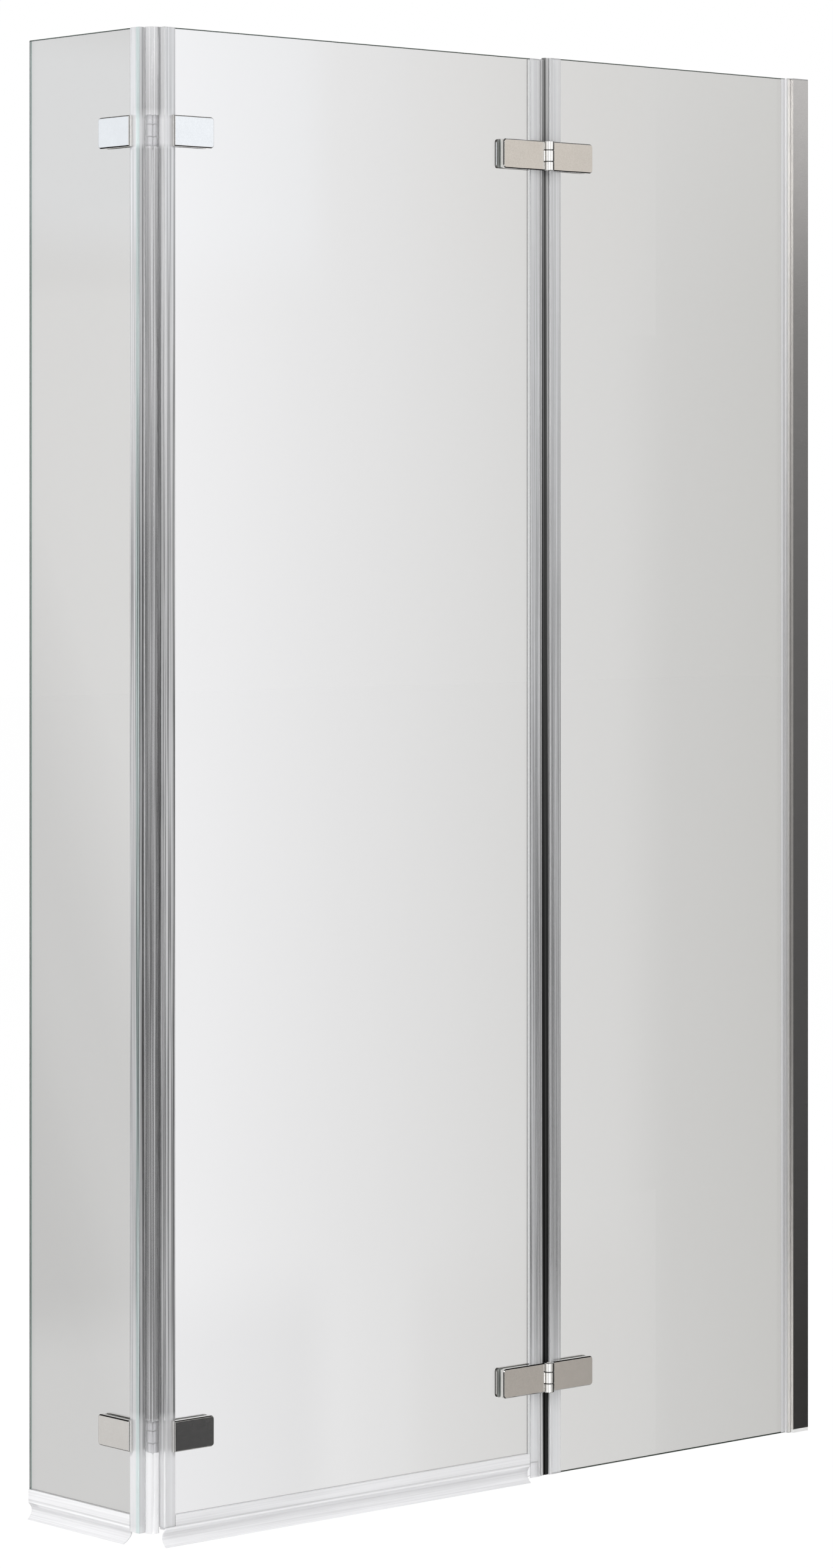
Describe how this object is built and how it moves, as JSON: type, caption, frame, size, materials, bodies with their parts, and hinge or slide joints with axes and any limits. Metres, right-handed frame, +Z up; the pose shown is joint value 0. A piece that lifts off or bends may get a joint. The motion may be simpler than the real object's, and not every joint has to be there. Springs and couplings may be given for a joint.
{
  "type": "folding bath screen",
  "caption": "Folding bath screen: a fixed glass panel in a wall channel, a glass door on room-side hinges, and a narrow glass return on corner hinges, with clear seals.",
  "frame": {"origin": "bottom of the wall channel's back, on the wall and in the mid-plane of the fixed glass", "axes": "the screen runs from the wall along -X, +Y points into the bath and -Y into the room, and +Z is up from the bath rim"},
  "size_m": [0.8653, 0.1968, 1.4045],
  "materials": {
    "clear_glass": "clear toughened glass with green polished edges",
    "channel_metal": "polished anodised aluminium",
    "profile_metal": "polished anodised aluminium",
    "clear_gasket": "clear soft plastic",
    "light_cap": "light moulded plastic",
    "grey_cap": "grey moulded plastic",
    "clear_web": "clear soft plastic",
    "clear_seal": "clear glossy plastic",
    "dark_strip": "dark matt strip",
    "hinge_metal": "satin faces with polished bevels and barrels",
    "clear_pad": "clear soft plastic",
    "screw_steel": "turned steel",
    "pin_steel": "ground steel",
    "black_washer": "black nylon"
  },
  "bodies": {
    "fixed_panel": {"wall_channel": "channel_metal", "glazing_profile": "profile_metal", "glazing_gaskets": "clear_gasket", "profile_screws": "screw_steel", "bottom_cap": "light_cap", "top_cap": "grey_cap", "fixed_glass": "clear_glass", "fixed_joint_seal": "clear_seal", "fixed_joint_strip": "dark_strip", "middle_upper_fixed_leaf": "hinge_metal", "middle_upper_fixed_clamp": "hinge_metal", "middle_upper_fixed_pads": "clear_pad", "middle_upper_fixed_screws": "screw_steel", "middle_upper_pin": "pin_steel", "middle_upper_washers": "black_washer", "middle_lower_fixed_leaf": "hinge_metal", "middle_lower_fixed_clamp": "hinge_metal", "middle_lower_fixed_pads": "clear_pad", "middle_lower_fixed_screws": "screw_steel", "middle_lower_pin": "pin_steel", "middle_lower_washers": "black_washer"},
    "door_panel": {"door_glass": "clear_glass", "door_joint_seal": "clear_seal", "door_joint_strip": "dark_strip", "door_corner_seal": "clear_seal", "door_bottom_seal": "clear_seal", "corner_web": "clear_web", "middle_upper_door_leaf": "hinge_metal", "middle_upper_door_clamp": "hinge_metal", "middle_upper_door_pads": "clear_pad", "middle_upper_door_screws": "screw_steel", "middle_lower_door_leaf": "hinge_metal", "middle_lower_door_clamp": "hinge_metal", "middle_lower_door_pads": "clear_pad", "middle_lower_door_screws": "screw_steel", "corner_upper_door_leaf": "hinge_metal", "corner_upper_door_clamp": "hinge_metal", "corner_upper_door_pads": "clear_pad", "corner_upper_door_screws": "screw_steel", "corner_upper_pin": "pin_steel", "corner_upper_washers": "black_washer", "corner_lower_door_leaf": "hinge_metal", "corner_lower_door_clamp": "hinge_metal", "corner_lower_door_pads": "clear_pad", "corner_lower_door_screws": "screw_steel", "corner_lower_pin": "pin_steel", "corner_lower_washers": "black_washer"},
    "return_panel": {"return_glass": "clear_glass", "return_corner_seal": "clear_seal", "return_bottom_seal": "clear_seal", "corner_upper_return_leaf": "hinge_metal", "corner_upper_return_clamp": "hinge_metal", "corner_upper_return_pads": "clear_pad", "corner_upper_return_screws": "screw_steel", "corner_lower_return_leaf": "hinge_metal", "corner_lower_return_clamp": "hinge_metal", "corner_lower_return_pads": "clear_pad", "corner_lower_return_screws": "screw_steel"}
  },
  "joints": [
    {"name": "door_hinge", "type": "hinge", "parent": "fixed_panel", "child": "door_panel", "pos_m": [-0.365, -0.0088, 0], "axis": [0, 0, 1], "range_deg": [0, 120]},
    {"name": "return_hinge", "type": "hinge", "parent": "door_panel", "child": "return_panel", "pos_m": [-0.848, 0.0088, 0], "axis": [0, 0, 1], "range_deg": [-90, 90], "deforming": ["corner_web"]}
  ]
}
